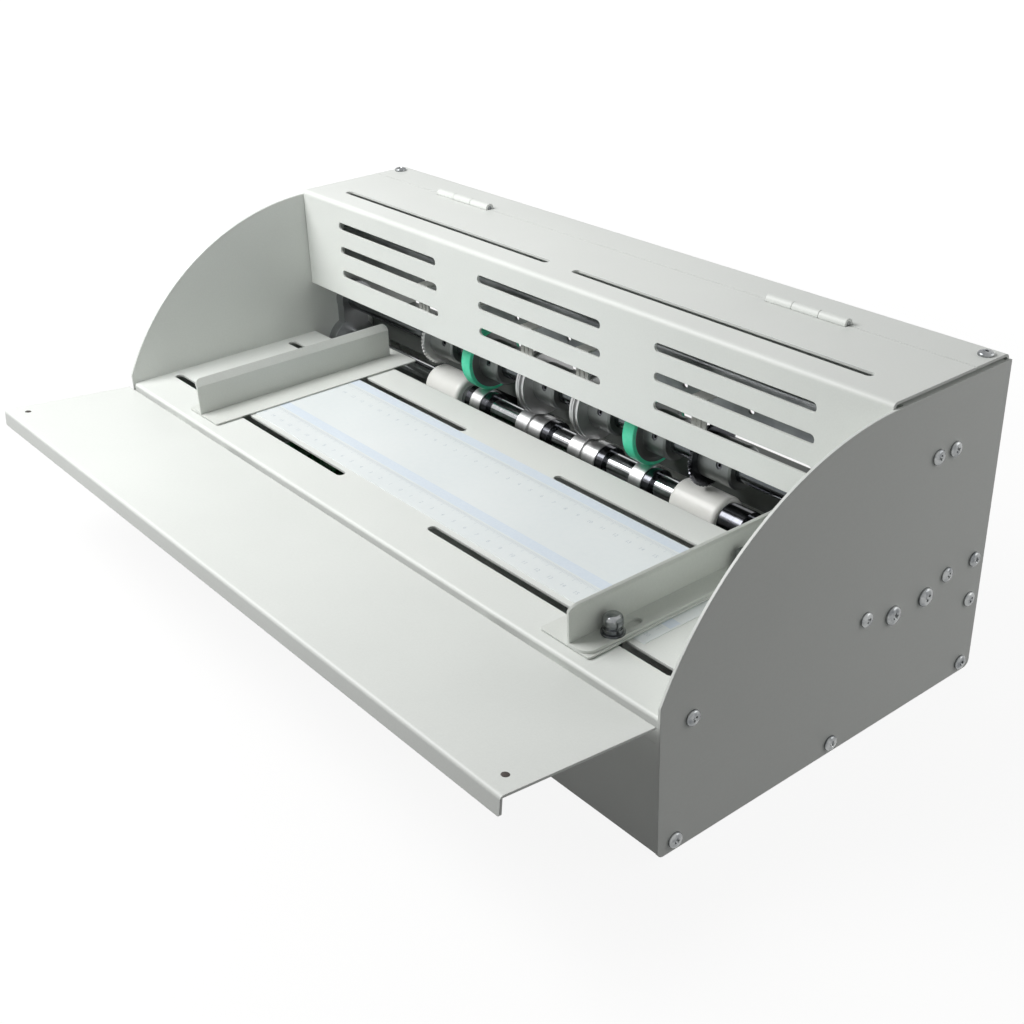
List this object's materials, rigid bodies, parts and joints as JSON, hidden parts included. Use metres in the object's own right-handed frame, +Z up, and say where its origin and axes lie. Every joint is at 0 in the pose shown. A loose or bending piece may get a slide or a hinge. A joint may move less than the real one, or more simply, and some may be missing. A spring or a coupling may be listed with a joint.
{
  "type": "desktop paper creasing machine",
  "caption": "Desktop creasing and perforating machine: slotted hinged cover, geared tool shafts, ruled feed table with sliding side guides and a folding front tray.",
  "frame": {"origin": "on the floor plane under the middle of the whole machine, tray and rear knob included", "axes": "+X to the operator's right along the shafts, +Y from the feed side to the exit side, +Z up"},
  "size_m": [0.5102, 0.3342, 0.185],
  "materials": {
    "powder_coated_sheet": "fine textured warm grey powder coat",
    "printed_film": "satin printed film",
    "steel_shaft": "ground steel",
    "steel_tool": "turned and polished steel",
    "dark_steel": "blackened steel",
    "white_sleeve": "smooth white polymer",
    "green_tyre": "matte green polyurethane",
    "black_rubber": "moulded black rubber",
    "zinc_steel": "bright zinc plated steel",
    "gear_steel": "hobbed steel",
    "bearing_alloy": "machined aluminium",
    "hub_alloy": "turned aluminium",
    "black_plastic": "moulded black plastic",
    "red_plastic": "moulded red plastic",
    "motor_paint": "satin black paint",
    "gearbox_alloy": "die cast aluminium",
    "board": "glass fibre board",
    "guide_steel": "fine textured warm grey powder coat",
    "thin_steel": "polished thin sheet"
  },
  "bodies": {
    "case": {"side_panel_left": "powder_coated_sheet", "side_panel_right": "powder_coated_sheet", "base_plate": "powder_coated_sheet", "front_panel": "powder_coated_sheet", "feed_table": "powder_coated_sheet", "exit_deck": "powder_coated_sheet", "ruler_film": "printed_film", "rear_panel": "powder_coated_sheet", "rear_hood": "powder_coated_sheet", "top_pads": "black_rubber", "rubber_feet": "black_rubber", "tie_bar": "thin_steel", "guard_fingers": "thin_steel", "cover_fixed_leaves": "powder_coated_sheet", "hinge_pins": "zinc_steel", "tray_fixed_leaves": "powder_coated_sheet", "tray_stops": "powder_coated_sheet", "bearing_block_left": "bearing_alloy", "bearing_block_right": "bearing_alloy", "motor": "motor_paint", "gearbox": "gearbox_alloy", "motor_bracket": "zinc_steel", "power_inlet": "black_plastic", "switch_body": "black_plastic", "speed_dial_body": "zinc_steel", "control_board": "board", "case_screws": "zinc_steel"},
    "cover": {"cover": "powder_coated_sheet", "cover_moving_leaves": "powder_coated_sheet"},
    "tray": {"front_tray": "powder_coated_sheet", "tray_moving_leaves": "powder_coated_sheet"},
    "left_guide": {"guide_left": "guide_steel", "guide_base_left": "guide_steel", "guide_studs_left": "zinc_steel"},
    "right_guide": {"guide_right": "guide_steel", "guide_base_right": "guide_steel", "guide_studs_right": "zinc_steel"},
    "knob_left_front": {"clamp_knob_left_front": "zinc_steel"},
    "knob_left_rear": {"clamp_knob_left_rear": "zinc_steel"},
    "knob_right_front": {"clamp_knob_right_front": "zinc_steel"},
    "knob_right_rear": {"clamp_knob_right_rear": "zinc_steel"},
    "lower_roller": {"lower_shaft": "steel_shaft", "perforating_sleeves": "white_sleeve", "feed_rings": "steel_tool", "creasing_anvils": "steel_tool", "ring_collars": "dark_steel", "lower_gear": "gear_steel", "drive_gear": "gear_steel"},
    "upper_roller": {"upper_shaft": "steel_shaft", "tool_hubs": "hub_alloy", "grub_screws": "dark_steel", "feed_tyres": "green_tyre", "creasing_wheels": "steel_tool", "perforating_wheel_left": "steel_tool", "perforating_wheel_right": "dark_steel", "upper_gear": "gear_steel"},
    "pinion": {"motor_pinion": "gear_steel"},
    "rocker": {"switch_rocker": "red_plastic"},
    "dial": {"speed_dial": "black_plastic"}
  },
  "joints": [
    {"name": "cover_lift", "type": "hinge", "parent": "case", "child": "cover", "pos_m": [0, 0.1286, 0.182], "axis": [-1, 0, 0], "range_deg": [0, 100]},
    {"name": "tray_fold", "type": "hinge", "parent": "case", "child": "tray", "pos_m": [0, -0.08255, 0.0732], "axis": [-1, 0, 0], "range_deg": [0, 83.5]},
    {"name": "left_guide_slide", "type": "slide", "parent": "case", "child": "left_guide", "axis": [1, 0, 0], "range_m": [-0.057, 0.136]},
    {"name": "right_guide_slide", "type": "slide", "parent": "case", "child": "right_guide", "axis": [1, 0, 0], "range_m": [-0.142, 0.038]},
    {"name": "left_front_clamp_turn", "type": "hinge", "parent": "left_guide", "child": "knob_left_front", "pos_m": [-0.1785, -0.0495, 0.086], "axis": [0, 0, 1], "range_deg": [0, 360]},
    {"name": "left_rear_clamp_turn", "type": "hinge", "parent": "left_guide", "child": "knob_left_rear", "pos_m": [-0.1785, 0.0397, 0.086], "axis": [0, 0, 1], "range_deg": [0, 360]},
    {"name": "right_front_clamp_turn", "type": "hinge", "parent": "right_guide", "child": "knob_right_front", "pos_m": [0.191, -0.0495, 0.086], "axis": [0, 0, 1], "range_deg": [0, 360]},
    {"name": "right_rear_clamp_turn", "type": "hinge", "parent": "right_guide", "child": "knob_right_rear", "pos_m": [0.191, 0.0397, 0.086], "axis": [0, 0, 1], "range_deg": [0, 360]},
    {"name": "lower_roller_spin", "type": "hinge", "parent": "case", "child": "lower_roller", "pos_m": [0, 0.0931, 0.0645], "axis": [1, 0, 0], "continuous": true},
    {"name": "upper_roller_spin", "type": "hinge", "parent": "case", "child": "upper_roller", "pos_m": [0, 0.0981, 0.09661], "axis": [1, 0, 0], "continuous": true},
    {"name": "pinion_spin", "type": "hinge", "parent": "case", "child": "pinion", "pos_m": [0.222, 0.07613, 0.04753], "axis": [1, 0, 0], "continuous": true},
    {"name": "power_rocker", "type": "hinge", "parent": "case", "child": "rocker", "pos_m": [-0.14, 0.1549, 0.034], "axis": [0, 0, 1], "range_deg": [0, 18]},
    {"name": "speed_turn", "type": "hinge", "parent": "case", "child": "dial", "pos_m": [-0.096, 0.1551, 0.034], "axis": [0, 1, 0], "range_deg": [0, 270]}
  ],
  "couplings": [
    {"joint": "upper_roller_spin", "follows": "lower_roller_spin", "ratio": -0.51163},
    {"joint": "pinion_spin", "follows": "lower_roller_spin", "ratio": -2}
  ]
}
